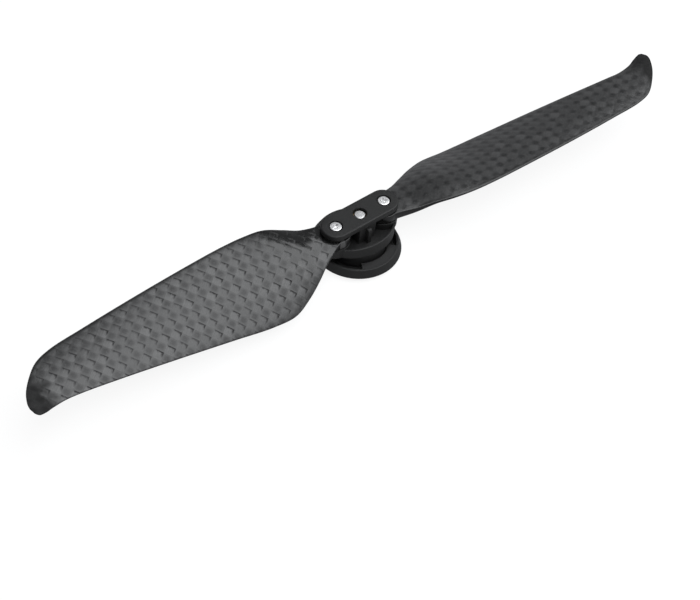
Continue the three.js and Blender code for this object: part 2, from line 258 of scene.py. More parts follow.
# ---- node tools for the finishes ----------------------------------------------------------
class Finish:
    """A node material: add() makes a node and links or sets its inputs."""

    def __init__(self, name, **shader_values):
        self.material = bpy.data.materials.new(name)
        self.material.use_nodes = True
        self.tree = self.material.node_tree
        self.tree.nodes.clear()
        output = self.add("ShaderNodeOutputMaterial")
        self.shader = self.add("ShaderNodeBsdfPrincipled", shader_values)
        self.tree.links.new(self.shader.outputs[0], output.inputs["Surface"])

    def put(self, socket, value):
        if isinstance(value, bpy.types.NodeSocket):
            self.tree.links.new(value, socket)
        else:
            socket.default_value = value

    def add(self, kind, inputs=None, **settings):
        made = self.tree.nodes.new(kind)
        for key, value in settings.items():
            setattr(made, key, value)
        for key, value in (inputs or {}).items():
            self.put(made.inputs[key], value)
        return made

    def maths(self, operation, *values):
        made = self.add("ShaderNodeMath", operation=operation)
        for i, value in enumerate(values):
            self.put(made.inputs[i], value)
        return made.outputs[0]

    def product(self, first, *others):
        for other in others:
            first = self.maths("MULTIPLY", first, other)
        return first

    def rest_of(self, share):
        return self.maths("SUBTRACT", 1.0, share)

    def vector(self, operation, *values):
        made = self.add("ShaderNodeVectorMath", operation=operation)
        for i, value in enumerate(values):
            self.put(made.inputs[i], value)
        return made.outputs[0]

    def ramp(self, value, low_in, high_in, low_out, high_out):
        """Goes from low_out to high_out while the value goes from low_in to high_in."""
        made = self.add("ShaderNodeMapRange", {
            "Value": value, "From Min": low_in, "From Max": high_in,
            "To Min": low_out, "To Max": high_out})
        return made.outputs[0]

    def blend(self, share, a, b):
        made = self.add("ShaderNodeMix", data_type="RGBA")
        self.put(made.inputs[0], share)
        self.put(made.inputs[6], a)
        self.put(made.inputs[7], b)
        return made.outputs[2]

    def noise(self, place, scale, detail=2.0, roughness=0.5):
        made = self.add("ShaderNodeTexNoise", {
            "Vector": place, "Scale": scale, "Detail": detail, "Roughness": roughness})
        return made.outputs["Fac"]

    def place(self):
        return self.add("ShaderNodeTexCoord").outputs["Object"]

    def bump(self, height, depth, strength):
        """Bump from a height of 0 to 1 that stands for depth, in metres."""
        made = self.add("ShaderNodeBump", {"Height": height, "Distance": depth, "Strength": strength})
        return made.outputs[0]

    def show(self, **inputs):
        """Sets the shader's inputs, with _ for a space in a name, and gives the material."""
        for key, value in inputs.items():
            self.put(self.shader.inputs[key.replace("_", " ")], value)
        return self.material


def grey(value):
    return (value, value, value, 1.0)


# ---- finishes -----------------------------------------------------------------------------
TOW = 2.05                           # width of one woven bundle of fibres, mm
SIDE_OF_DIP = 0.97                   # the side that a stroke bends to, and how near it comes
BLADE_BUMP = 0.03                    # depth of the finest relief, mm


def fibre_streaks(f, uv, over):
    """Fine streaks along whichever bundle is on top."""
    along_a = f.noise(f.vector("MULTIPLY", uv, (1.0, 22.0, 1.0)), 1.0, 3.0, 0.6)
    along_b = f.noise(f.vector("MULTIPLY", uv, (22.0, 1.0, 1.0)), 1.0, 3.0, 0.6)
    return f.maths("ADD", f.product(along_a, f.rest_of(over)), f.product(along_b, over))


def fibre_direction(f, over):
    """The way the fibres on top run, which stretches the gloss across them."""
    along_a = f.add("ShaderNodeTangent", direction_type="UV_MAP", uv_map="weave").outputs[0]
    normal = f.add("ShaderNodeNewGeometry").outputs["Normal"]
    along_b = f.vector("CROSS_PRODUCT", normal, along_a)
    chosen = f.add("ShaderNodeMix", data_type="VECTOR")
    f.put(chosen.inputs[0], over)
    f.put(chosen.inputs[4], along_a)
    f.put(chosen.inputs[5], along_b)
    return chosen.outputs[1]


def dip_shade_strokes(f, uv, x, y, over, cell, stroke):
    """Painted shade: the dark stroke where a bundle along a dips under its neighbour, on the side turned from
    the light, and round one corner.
    """
    beside = f.product(y, SIDE_OF_DIP)
    back_part = f.maths("POWER", f.maths("MAXIMUM", f.product(x, -1.0), 0.0), 4.0)
    side_part = f.maths("POWER", f.maths("MAXIMUM", beside, 0.0), 4.0)
    distance = f.maths("POWER", f.maths("ADD", back_part, side_part), 0.25)
    ragged = f.maths("ADD", distance, f.ramp(f.noise(uv, 4.0, 3.0, 0.6), 0.3, 0.7, -0.16, 0.16))
    shape = f.product(f.ramp(ragged, 0.5, 0.88, 0.0, 1.0), f.ramp(x, -0.35, 0.45, 1.0, 0.0),
                      f.ramp(beside, -0.95, -0.6, 0.0, 1.0))
    return f.product(shape, f.rest_of(over), f.ramp(cell, 0.0, 1.0, 0.6 * stroke, stroke))


def painted_dark_places(f, uv, cell):
    """Painted shade and dark reflection that hide the weave: beside the pivot, where the top plate shades and
    darkens the gloss, along the leading edge and at the tip, where the surface turns away from the light.
    """
    where = f.add("ShaderNodeSeparateXYZ", {"Vector": f.add("ShaderNodeUVMap", uv_map="reach").outputs[0]})
    reach, from_edge = where.outputs[0], where.outputs[1]
    wander = f.ramp(f.noise(uv, 0.9, 2.0), 0.3, 0.7, -1.2, 1.2)
    stepped = f.maths("ADD", wander, f.ramp(cell, 0.0, 1.0, -1.3, 1.3))
    deeper = f.maths("SUBTRACT", f.maths("ADD", from_edge, stepped), f.ramp(reach, 7.0, 10.0, 0.0, 3.2))
    neck = f.product(f.ramp(f.maths("ADD", reach, stepped), 15.0, 18.5, 1.0, 0.0),
                     f.ramp(deeper, 7.0, 8.4, 1.0, 0.0))
    line = f.ramp(f.maths("ADD", from_edge, f.product(wander, 0.08)), 0.5, 0.95, 1.0, 0.0)
    tip = f.ramp(f.maths("ADD", reach, wander), 77.0, 80.5, 0.0, 1.0)
    return neck, line, tip


def carbon_finish(name, stroke, neck_shade):
    """Plain weave under a clear lacquer. The first number sets how strong the painted shade in each bundle's
    dip and the painted sheen of the light cells are; the second, how much painted shade and dark reflection
    hide the weave beside the pivot; both 0 to 1.

    The map "weave" counts bundles of fibres along and across; the map "reach" holds the distance
    from the pivot and from the leading edge in millimetres.
    """
    f = Finish(name, **{"IOR": 1.6, "Anisotropic": 0.3})
    uv = f.add("ShaderNodeUVMap", uv_map="weave").outputs[0]
    split = f.add("ShaderNodeSeparateXYZ", {"Vector": uv})
    a, b = split.outputs[0], split.outputs[1]
    whole = f.maths("ADD", f.maths("FLOOR", a), f.maths("FLOOR", b))
    over = f.maths("MODULO", whole, 2.0)          # 0 where the bundle along a is on top, 1 for b
    cell = f.add("ShaderNodeTexWhiteNoise", {"Vector": f.vector("FLOOR", uv)}).outputs[0]
    streaks = fibre_streaks(f, uv, over)
    # How far a spot is from the middle of its cell, 1 at the sides and about 1.26 in the corners.
    x, y = [f.product(f.maths("SUBTRACT", f.maths("FRACT", v), 0.5), 2.0) for v in (a, b)]
    away = f.maths("POWER", f.maths("ADD", f.maths("POWER", f.maths("ABSOLUTE", x), 3.0),
                                    f.maths("POWER", f.maths("ABSOLUTE", y), 3.0)), 0.3333)
    oval = f.ramp(away, 0.4, 0.95, 1.0, 0.0)
    gap = f.ramp(away, 1.0, 1.2, 0.0, 1.0)
    dip_shade = dip_shade_strokes(f, uv, x, y, over, cell, stroke)
    neck, line, tip = painted_dark_places(f, uv, cell)
    # Colour: light and dark cells (painted sheen that changes with the fibres' direction), streaks, gaps,
    # mottling and patches, then painted shade and dark reflection beside the pivot, along the leading edge
    # and at the tip, then painted shade in the strokes.
    # Painted sheen: cells where the bundle along a is on top are light, those along b dark, as the gloss
    # differs with the fibres' direction; the first number makes the light cells lighter and the dark ones
    # vary more.
    light = f.blend(cell, grey(0.032), grey(0.06 + 0.018 * stroke))
    depth = f.ramp(cell, 0.0, 1.0, 0.85 - 0.25 * stroke, 1.0)
    dark = f.blend(f.product(oval, depth), grey(0.038), grey(0.002))
    base = f.blend(over, light, dark)
    base = f.blend(f.ramp(streaks, 0.42, 0.7, 0.0, 0.5), base, grey(0.01))
    base = f.blend(f.product(gap, 0.3), base, grey(0.006))
    mottle = f.noise(uv, 3.2, 4.0, 0.7)
    base = f.blend(f.ramp(mottle, 0.5, 0.78, 0.0, 0.6), base, grey(0.085))
    patches = f.noise(uv, 0.3, 2.0)
    base = f.blend(f.ramp(patches, 0.4, 0.75, 0.0, 0.3), base, grey(0.045))
    # Painted shade and dark reflection beside the pivot, along the leading edge and at the tip.
    painted_dark = f.maths("MAXIMUM", f.maths("MAXIMUM", f.product(neck, neck_shade), line), tip)
    base = f.blend(f.product(painted_dark, 0.95), base, grey(0.002))
    # Painted shade: the dark stroke in each bundle's dip.
    base = f.blend(dip_shade, base, grey(0.004))
    # Roughness: the lacquer is dull in the strokes and at the tip, and glossy beside the pivot.
    worn = f.maths("MAXIMUM", f.product(dip_shade, 0.45), f.product(tip, 0.5))
    worn = f.maths("ADD", worn, f.product(over, oval, 0.12 * stroke))
    worn = f.maths("SUBTRACT", worn, f.product(neck, 0.2 * neck_shade))
    rough = f.maths("ADD", f.ramp(f.maths("ADD", streaks, mottle), 0.7, 1.3, 0.27, 0.45), worn)
    height = f.product(f.maths("SUBTRACT", streaks, f.product(dip_shade, 2.0)), f.rest_of(neck))
    return f.show(Base_Color=base, Roughness=rough, Tangent=fibre_direction(f, over),
                  Normal=f.bump(height, BLADE_BUMP * MM, 0.6))


def nylon_finish():
    """Black glass-filled nylon: fine spark-eroded grain, cloudy sheen and faint rubbed marks."""
    f = Finish("black_nylon", **{"IOR": 1.5, "Specular IOR Level": 0.33})
    here = f.place()
    grain = f.noise(here, 9000.0, 3.0, 0.65)
    clouds = f.noise(here, 260.0, 3.0)
    rubbed = f.noise(f.vector("MULTIPLY", here, (1.0, 0.18, 1.0)), 2600.0, 2.0, 0.7)
    base = f.blend(clouds, grey(0.011), grey(0.018))
    base = f.blend(f.ramp(rubbed, 0.62, 0.8, 0.0, 0.5), base, grey(0.03))
    rough = f.maths("ADD", f.ramp(clouds, 0.3, 0.7, 0.36, 0.5), f.maths("MULTIPLY", grain, 0.08))
    bumps = f.bump(grain, 0.012 * MM, 0.6)
    return f.show(Base_Color=base, Roughness=rough, Normal=bumps)


TOOL_LINES = 0.02                    # depth of the rings that a cutting tool leaves, mm


def metal_finish(name, bright, dull, roughness):
    """Turned metal: fine rings of the cutting tool, worn bright and slightly stained."""
    f = Finish(name, Metallic=1.0)
    uv = f.add("ShaderNodeUVMap", uv_map="turned").outputs[0]
    rings = f.noise(f.vector("MULTIPLY", uv, (3.0, 34.0, 1.0)), 1.0, 3.0, 0.7)
    stains = f.noise(f.place(), 1400.0, 3.0)
    base = f.blend(f.ramp(stains, 0.35, 0.7, 0.0, 1.0), bright, dull)
    rough = f.ramp(rings, 0.3, 0.7, roughness - 0.07, roughness + 0.1)
    bumps = f.bump(rings, TOOL_LINES * MM, 0.35)
    return f.show(Base_Color=base, Roughness=rough, Normal=bumps)


def pale_nylon_finish():
    """Natural nylon: cloudy, with a fine grain."""
    f = Finish("pale_nylon", **{"IOR": 1.53, "Subsurface Weight": 0.1})
    here = f.place()
    clouds = f.noise(here, 500.0, 3.0)
    grain = f.noise(here, 7000.0, 2.0)
    base = f.blend(clouds, (0.70, 0.68, 0.62, 1.0), (0.80, 0.79, 0.74, 1.0))
    return f.show(Base_Color=base, Roughness=f.ramp(clouds, 0.3, 0.7, 0.4, 0.55),
                  Normal=f.bump(grain, 0.01 * MM, 0.4))


FINISHES = {
    # The left blade's copy: strong painted strokes, painted sheen of the light cells and painted shade beside
    # the pivot.
    "carbon": carbon_finish("carbon_weave_left", 1.0, 0.95),
    "black_nylon": nylon_finish(),
    "bright_steel": metal_finish("bright_steel", grey(0.95), grey(0.84), 0.3),
    "steel": metal_finish("steel", grey(0.72), grey(0.6), 0.34),
    "brass": metal_finish("brass", (0.75, 0.56, 0.27, 1), (0.6, 0.43, 0.2, 1), 0.32),
    "pale_nylon": pale_nylon_finish(),
}
# The right blade gets a copy of the weave with faint painted strokes, weaker painted sheen and little painted
# shade beside the pivot, where the left blade's copy has them strong: the two copies stand for how
# differently light falls on the two blades.
CARBON_RIGHT = carbon_finish("carbon_weave_right", 0.15, 0.15)


def stands_for(piece, node, finish=None):
    """The piece takes a node's place: its body, its slot and its slot's finish, or a given one."""
    piece.data.materials.clear()
    piece.data.materials.append(finish or FINISHES[SLOT_OF[node]])
    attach(piece, BODY_OF[node])
    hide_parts(node)
    return piece


# ---- mounting plate, pin, washer and spring -----------------------------------------------
# Millimetres above the motor's face, and radii about the spin axis.
PIN_GAP = 0.03
PIN_BORE_R = 1.42                    # of the parts that slide on the pin
SPIGOT_R = 9.6
SPIGOT_H = 1.0
PLATE_FLOOR = 0.9
RING_R = 9.3
HOOK_R = 7.5
HOOK_UNDER = 2.2
PLATE_TOP_R = 9.85
POST_R = 3.0
PLATE_TOP = 2.95
HOOKS = (-121, -47)                  # where the first of three hooks starts and ends, degrees
LANDS = (-84, -47.3)                 # the solid part below the first hook
PILOT_AT = -65.5                     # where the first screw hole is, degrees
LAND_INSET = 0.03                    # keeps a land's faces off those of the hook it joins
PILOT_R = 0.65
PILOT_CIRCLE_R = 8.4
PILOT_DEPTH = 2.4
INTO = 0.2                           # how far joined bodies reach into each other


def mounting_plate():
    plate_r = radius("mounting_plate")
    post_top = high("mounting_plate").z
    hole = radius("centre_pin") + PIN_GAP
    hole_floor = low("centre_pin").z - PIN_GAP
    profile = [
        (0, 0), (SPIGOT_R, 0), (SPIGOT_R, SPIGOT_H), (plate_r, SPIGOT_H),
        (plate_r, SPIGOT_H + 0.2), (PLATE_TOP_R, PLATE_TOP), (RING_R, PLATE_TOP),
        (RING_R, PLATE_FLOOR), (POST_R, PLATE_FLOOR), (POST_R, post_top), (hole, post_top),
        (hole, hole_floor), (0, hole_floor),
    ]
    body = turned("mounting_plate_moulding", rounded(profile, 0.12), sides=144)
    outer = RING_R + INTO
    bottom = PLATE_FLOOR - INTO
    added = []
    pilots = []
    for k in range(3):
        turn = 120 * k
        added.append(sector("hook", HOOK_R, outer, HOOK_UNDER, PLATE_TOP - 0.02,
                            HOOKS[0] + turn, HOOKS[1] + turn))
        added.append(sector("land", HOOK_R + LAND_INSET, outer - LAND_INSET, bottom, PLATE_TOP - 0.1,
                            LANDS[0] + turn, LANDS[1] + turn))
        angle = math.radians(PILOT_AT + turn)
        centre = (PILOT_CIRCLE_R * math.cos(angle), PILOT_CIRCLE_R * math.sin(angle))
        flare = [(0, -0.2), (PILOT_R + 0.3, -0.2), (PILOT_R, 0.1), (PILOT_R, PILOT_DEPTH),
                 (0, PILOT_DEPTH + 0.3)]
        pilots.append(turned("pilot", flare, centre, 32))
    combine(body, added)
    combine(body, pilots, "DIFFERENCE")
    return smooth(body)


def centre_pin():
    r = radius("centre_pin")
    z0, z1 = low("centre_pin").z, high("centre_pin").z
    profile = rounded([(0, z0), (r, z0), (r, z1 - 0.2), (r - 0.2, z1), (0, z1)], 0.06)
    return smooth(turned("centre_pin_turned", profile, sides=64))


COIL_R = 4.2
WIRE_R = 0.25
TURNS = 3
STEPS_PER_TURN = 48
WIRE_SIDES = 16


def lift_spring():
    """A round wire wound up the pin."""
    z0, z1 = low("lift_spring").z + WIRE_R, high("lift_spring").z - WIRE_R
    rings = []
    steps = TURNS * STEPS_PER_TURN
    for i in range(steps + 1):
        share = i / steps
        angle = share * TURNS * 2 * math.pi
        outward = Vector((math.cos(angle), math.sin(angle), 0))
        centre = outward * COIL_R + Vector((0, 0, z0 + share * (z1 - z0)))
        round_wire = [2 * math.pi * j / WIRE_SIDES for j in range(WIRE_SIDES)]
        rings.append([centre + outward * (WIRE_R * math.cos(a)) + Vector((0, 0, WIRE_R * math.sin(a)))
                      for a in round_wire])
    return smooth(loft("lift_spring_coil", rings), 60)


def lift_washer():
    r = radius("lift_washer")
    z0, z1 = low("lift_washer").z, high("lift_washer").z
    return smooth(ring("lift_washer_turned", r, PIN_BORE_R, z0, z1, edge=0.12, sides=96))


# ---- hub ----------------------------------------------------------------------------------
PIVOT_X = middle("pivot_sleeve_right").x
NECK_R = 7.1
NECK_WALL_IN = 4.0
NECK_BORE_R = 5.6
FOOT_R = 9.0
FOOT_TOP = 2.1
FOOT_ANGLE = 26
FOOT_CENTRE = -98
BASE_BOTTOM = 4.5
BASE_FLOOR = 5.6
BASE_RIM = 6.8
BASE_LOW = (9.2, 7.1)                # half axes of the oval cup at its bottom and at its rim
BASE_HIGH = (9.5, 6.45)
BASE_TURN = -7                       # degrees that the oval stands turned
RIM_WALL = 0.6
BOSS_R = 3.75
BOSS_TOP = 7.4
WEB_X = 2.4
WEB_Y = 3.3
RIB_HALF = 0.55                      # half the thickness of the rib in front of the web
RIB_REACH = 4.3
WEB_TOP = 10.27
RIB_TOP = 9.8
RIB_CHAMFER = 0.4
BUSH_BORE_R = 2.23
INSERT_BORE_R = 1.93
INSERT_FLOOR = 5.12
ABOVE_ALL = 14                       # where a cutter that goes right through ends


def bore(name, r, bottom, centre=(0, 0), sides=72):
    """A cutter for a round hole from a height upwards."""
    profile = [(0, bottom), (r, bottom), (r, ABOVE_ALL), (0, ABOVE_ALL)]
    return turned(name, profile, centre, sides)


def hub_base():
    neck_bottom = low("hub_base").z
    rim_in = [a - RIM_WALL for a in BASE_HIGH]
    floor_in = [a - RIM_WALL for a in BASE_LOW]
    cup = rounded([
        (0, 0, BASE_BOTTOM), (*BASE_LOW, BASE_BOTTOM), (*BASE_HIGH, BASE_RIM),
        (*rim_in, BASE_RIM), (*floor_in, BASE_FLOOR), (0, 0, BASE_FLOOR),
    ], 0.22)
    body = turned("hub_base_moulding", cup, sides=128)
    body.data.transform(Matrix.Rotation(math.radians(BASE_TURN), 4, "Z"))
    added = [
        ring("neck", NECK_R, NECK_WALL_IN, neck_bottom, BASE_BOTTOM + INTO, edge=0.12, sides=96),
        prism("web", [(WEB_X, -WEB_Y), (WEB_X, WEB_Y), (-WEB_X, WEB_Y), (-WEB_X, -WEB_Y)],
              BASE_BOTTOM + INTO, WEB_TOP, 0.15),
    ]
    for sign in (-1, 1):
        outline = [(WEB_Y - INTO, BASE_BOTTOM + INTO), (RIB_REACH, BASE_BOTTOM + INTO),
                   (RIB_REACH, RIB_TOP - RIB_CHAMFER), (RIB_REACH - RIB_CHAMFER, RIB_TOP),
                   (WEB_Y - INTO, RIB_TOP)]
        rings = [[(x, sign * y, z) for y, z in outline] for x in (-RIB_HALF, RIB_HALF)]
        if sign > 0:
            rings.reverse()
        added.append(bevel(loft("rib", rings), 0.12))
        added.append(rod("boss", BOSS_R, BASE_BOTTOM + INTO, BOSS_TOP, (sign * PIVOT_X, 0)))
    for k in range(3):
        centre = FOOT_CENTRE + 120 * k
        added.append(sector("foot", NECK_R - INTO, FOOT_R, neck_bottom + 0.01, FOOT_TOP,
                            centre - FOOT_ANGLE / 2, centre + FOOT_ANGLE / 2))
    combine(body, added)
    cuts = [
        turned("cut", [(0, 0), (NECK_BORE_R, 0), (NECK_BORE_R, BASE_BOTTOM), (0, BASE_BOTTOM)]),
        bore("cut", BUSH_BORE_R, 0, sides=64),
    ]
    for sign in (-1, 1):
        cuts.append(bore("cut", INSERT_BORE_R, INSERT_FLOOR, (sign * PIVOT_X, 0), 48))
    combine(body, cuts, "DIFFERENCE")
    return smooth(mend(body, 0.02))


CENTRE_HOLE_R = 1.65
SHANK_HOLE_R = 1.1
HEAD_HOLE_R = 1.62
HEAD_SEAT = 10.95
HOLE_CHAMFER = 0.1


def stadium(inset, z, steps=32):
    """Outline of the top plate at one height: two half circles about the pivots."""
    r = high("top_plate").y - inset
    right = arc(r, -90, 90, steps, (PIVOT_X, 0))
    left = arc(r, 90, 270, steps, (-PIVOT_X, 0))
    return [(x, y, z) for x, y in right + left]


def chamfered_mouth(r, top):
    """The end of a hole's cutter where it comes out at the top, a little wider there."""
    return [(r, top - HOLE_CHAMFER), (r + 2 * HOLE_CHAMFER, top + HOLE_CHAMFER), (0, top + HOLE_CHAMFER)]


def top_plate():
    z0, z1 = low("top_plate").z, high("top_plate").z
    below = z0 - 0.5
    line = rounded([(0.5, z0), (0, z0), (0, z1), (1.5, z1)], 0.42, steps=6)
    body = loft("top_plate_moulding", [stadium(inset, z) for inset, z in line])
    hole = [(0, below), (CENTRE_HOLE_R, below), *chamfered_mouth(CENTRE_HOLE_R, z1)]
    seat = [(0, below), (SHANK_HOLE_R, below), (SHANK_HOLE_R, HEAD_SEAT), (HEAD_HOLE_R, HEAD_SEAT),
            *chamfered_mouth(HEAD_HOLE_R, z1)]
    cuts = [turned("cut", hole, sides=64)]
    for sign in (-1, 1):
        cuts.append(turned("cut", seat, (sign * PIVOT_X, 0), 64))
    combine(body, cuts, "DIFFERENCE")
    return smooth(body)


def centre_bush():
    z0, z1 = low("centre_bush").z, high("centre_bush").z
    return smooth(ring("centre_bush_turned", radius("centre_bush"), PIN_BORE_R, z0, z1))


# ---- pivot hardware -----------------------------------------------------------------------
SHANK_R = 1.0
HEAD_GAP = 0.03                      # below the screw's head
RECESS_DEPTH = 0.5
RECESS_LENGTH = 1.75
RECESS_WIDTH = 0.44
RECESS_TURN = {"left": 20, "right": 62}             # degrees
INNER_R = {"pivot_insert": 1.07, "pivot_sleeve": 1.07, "washer_lower": 1.82, "washer_upper": 1.82,
           "blade_bush": 1.82}


def cross(length, width, z, turn):
    """Outline of the screwdriver recess at one height."""
    reach, w = length / 2, width / 2
    quarter = [(reach, -w), (reach, w), (w * 1.25, w * 1.25)]
    points = []
    for k in range(4):
        angle = math.radians(90 * k + turn)
        c, s = math.cos(angle), math.sin(angle)
        points += [(x * c - y * s, x * s + y * c, z) for x, y in quarter]
    return points


def pivot_screw(side):
    node = f"pivot_screw_{side}"
    turn = RECESS_TURN[side]
    centre = (middle(node).x, 0)
    z0, z1 = low(node).z, high(node).z
    head_r = radius(node)
    seat = HEAD_SEAT + HEAD_GAP
    shank = [(0, z0), (SHANK_R - 0.2, z0), (SHANK_R, z0 + 0.2), (SHANK_R, seat)]
    head = rounded([(SHANK_R, seat), (head_r, seat), (head_r, z1), (0, z1)], 0.2, steps=6)
    body = turned(f"{node}_turned", shank + head[1:], centre, 72)
    rings = [cross(RECESS_LENGTH * 0.5, RECESS_WIDTH * 0.75, z1 - RECESS_DEPTH, turn),
             cross(RECESS_LENGTH, RECESS_WIDTH, z1, turn),
             cross(RECESS_LENGTH * 1.06, RECESS_WIDTH * 1.1, z1 + 0.1, turn)]
    rings = [[(x + centre[0], y, z) for x, y, z in points] for points in rings]
    combine(body, [loft("recess", rings)], "DIFFERENCE")
    return smooth(body)


def pivot_ring(kind, side):
    """A tube round the pivot: insert, sleeve, washer or bush."""
    node = f"{kind}_{side}"
    z0, z1 = low(node).z, high(node).z
    return smooth(ring(f"{node}_turned", radius(node), INNER_R[kind], z0, z1, (middle(node).x, 0), 0.05))


# ---- blades -------------------------------------------------------------------------------
# Stations from root to tip, in the blade's own frame: along it from the pivot, across it towards
# the trailing edge, and height. Then come the thickness, that of the edges, and the bow of the
# section as a share of its chord. They are the same as in the CAD, apart from the root's thickness.
ROOT_R = 3.85
ROOT_Z = 8.86
ROOT_T = 2.32
BLADE_STATIONS = [
    ((1.2, -3.65, 8.86), (1.2, 3.65, 8.86), 2.32, 2.1, 0.0),
    ((6.4, -4.9, 9.6), (6.0, 5.3, 7.7), 2.1, 1.0, 0.03),
    ((10.5, -6.3, 11.2), (10.0, 7.5, 6.5), 1.8, 0.5, 0.07),
    ((15.0, -7.9, 12.5), (14.5, 9.7, 5.5), 1.6, 0.42, 0.085),
    ((20.0, -8.5, 12.9), (19.5, 11.35, 4.6), 1.4, 0.4, 0.07),
    ((26.0, -8.6, 13.2), (25.5, 11.2, 4.8), 1.3, 0.4, 0.05),
    ((36.0, -8.2, 13.5), (36.0, 10.2, 6.6), 1.2, 0.4, 0.04),
    ((50.0, -7.35, 13.8), (50.0, 8.85, 9.0), 1.05, 0.4, 0.035),
    ((63.5, -6.25, 14.1), (63.0, 7.6, 11.05), 0.9, 0.4, 0.035),
    ((72.5, -5.3, 14.3), (72.0, 6.8, 12.3), 0.8, 0.4, 0.035),
    ((76.6, -3.95, 14.4), (76.0, 6.6, 12.7), 0.75, 0.4, 0.035),
    ((79.8, -1.3, 14.75), (79.4, 7.05, 13.2), 0.7, 0.4, 0.035),
    ((82.6, 2.0, 15.1), (81.5, 7.75, 13.95), 0.65, 0.4, 0.035),
    ((84.0, 4.8, 15.4), (83.2, 8.0, 14.7), 0.6, 0.4, 0.035),
    ((84.25, 6.1, 15.4), (83.9, 7.4, 15.05), 0.5, 0.4, 0.035),
]
FLAT_R = 5.0                         # this near the pivot the blade stays under the top plate
FLAT_TOP = ROOT_Z + ROOT_T / 2
FLAT_SLOPE = 1.2                     # how steeply it may rise beyond
RIGHT_LEAD = 5.5                     # degrees that the right blade stands turned
SPAN_STEP = 0.26                     # mm between sections
ACROSS = 60                          # steps from edge to edge on each face
WAVE = 0.04                          # how far a bundle of fibres rises and dives, mm
LENS = 0.038                         # how much a bundle stands up in its middle, mm
WEAVE_ANGLE = {"left": 38.0, "right": 40.0}       # of the bundles to the blade, degrees
CELLS_BEFORE = 40                    # keeps the count of bundles above 0
EDGE_ROUND = 0.2                     # mm over which the blade's edges are rounded
TIP_ROUND = 0.3                      # and its end
FULLNESS = 0.6                       # below 1, a section stays thick towards its edges
RELIEF_FROM = 4.6                    # mm from the pivot between which the weave stands out
RELIEF_TO = 82.5
EDGE_FADE = 0.9                      # mm from an edge within which it fades out
BUSH_GAP = 0.03


def root_stations():
    """The round root, from its far side to its middle."""
    made = []
    for angle in np.radians(np.linspace(8, 96, 9)):
        u, v = -ROOT_R * math.cos(angle), ROOT_R * math.sin(angle)
        made.append(((u, -v, ROOT_Z), (u, v, ROOT_Z), ROOT_T, 2.1, 0.0))
    return made


def curve_at(points, t):
    """Centripetal Catmull-Rom curve through the points, at t from 0 to 1."""
    count = len(points) - 1
    i = min(int(t * count), count - 1)
    w = t * count - i
    p1, p2 = points[i], points[i + 1]
    p0 = points[i - 1] if i > 0 else 2 * p1 - p2
    p3 = points[i + 2] if i + 2 <= count else 2 * p2 - p1
    d0, d1, d2 = (max(np.linalg.norm(b - a), 1e-6) ** 0.5 for a, b in ((p0, p1), (p1, p2), (p2, p3)))
    m1 = ((p1 - p0) / d0 - (p2 - p0) / (d0 + d1) + (p2 - p1) / d1) * d1
    m2 = ((p2 - p1) / d1 - (p3 - p1) / (d1 + d2) + (p3 - p2) / d2) * d1
    return (p1 + m1 * w + (3 * (p2 - p1) - 2 * m1 - m2) * w ** 2
            + (2 * (p1 - p2) + m1 + m2) * w ** 3)


def end_round(distance, r):
    """1 away from an edge, falling to 0 at it as a quarter circle of radius r."""
    share = np.clip(distance / r, 0, 1)
    return np.sqrt(1 - (1 - share) ** 2)


def relief(a, b):
    """Height of the plain weave in mm: bundles along a and along b take turns to be on top."""
    x = a - np.floor(a) - 0.5
    y = b - np.floor(b) - 0.5
    a_on_top = 1 - 2 * ((np.floor(a) + np.floor(b)) % 2)
    along_a = WAVE * np.cos(np.pi * x) * a_on_top + LENS * (1 - 4 * y ** 2)
    along_b = -WAVE * np.cos(np.pi * y) * a_on_top + LENS * (1 - 4 * x ** 2)
    return np.maximum(along_a, along_b)


def across_steps(chord, r):
    """Distances from the leading edge at which a section is sampled, close together at its edges."""
    corner = r * (1 - np.cos(np.linspace(0, math.pi / 2, 5)))
    inner = np.linspace(r, chord - r, ACROSS + 1)
    return np.concatenate([corner[:-1], inner, chord - corner[-2::-1]])


def blade_section(row, to_tip, tilt):
    """A loop of points round the blade, with the bundle counts and the reach of each point."""
    le, te, thick, edge, camber = row[:3], row[3:6], row[6], row[7], row[8]
    chord = np.linalg.norm(te - le)
    d = across_steps(chord, min(EDGE_ROUND, edge / 2, chord / 4))
    s = d / chord
    lens = np.clip(4 * s * (1 - s), 0, 1)
    half = (edge + (thick - edge) * lens ** FULLNESS) / 2
    half = half * end_round(np.minimum(d, chord - d), min(EDGE_ROUND, edge / 2))
    half = half * end_round(np.array(to_tip + 0.01), TIP_ROUND)
    bow = camber * chord * lens
    forward = (te - le) / chord
    up = np.cross((1.0, 0.0, 0.0), forward)
    up = up / np.linalg.norm(up)
    on_chord = le + d[:, None] * forward
    along = on_chord[:, 0]
    across = d + chord * le[1] / max(te[1] - le[1], 1e-6)
    a = (along * math.cos(tilt) + across * math.sin(tilt)) / TOW + CELLS_BEFORE
    b = (-along * math.sin(tilt) + across * math.cos(tilt)) / TOW + CELLS_BEFORE
    # The relief fades out at the edges, over the root and at the tip.
    reach = (le[0] + te[0]) / 2
    fade = np.clip(np.minimum(d, chord - d) / EDGE_FADE, 0, 1)
    fade = fade * np.clip((reach - RELIEF_FROM) / 2, 0, 1) * np.clip((RELIEF_TO - reach) / 4, 0, 1)
    high_up = (relief(a, b) - WAVE) * fade
    top = on_chord + (bow + half + high_up)[:, None] * up
    under = on_chord + (bow - half - high_up)[:, None] * up
    from_pivot = np.hypot(top[:, 0], top[:, 1])
    top[:, 2] = np.minimum(top[:, 2], FLAT_TOP + FLAT_SLOPE * np.clip(from_pivot - FLAT_R, 0, 9))
    map_row = np.stack([a, b, along, d], 1)
    return np.concatenate([top, under[-2:0:-1]]), np.concatenate([map_row, map_row[-2:0:-1]])


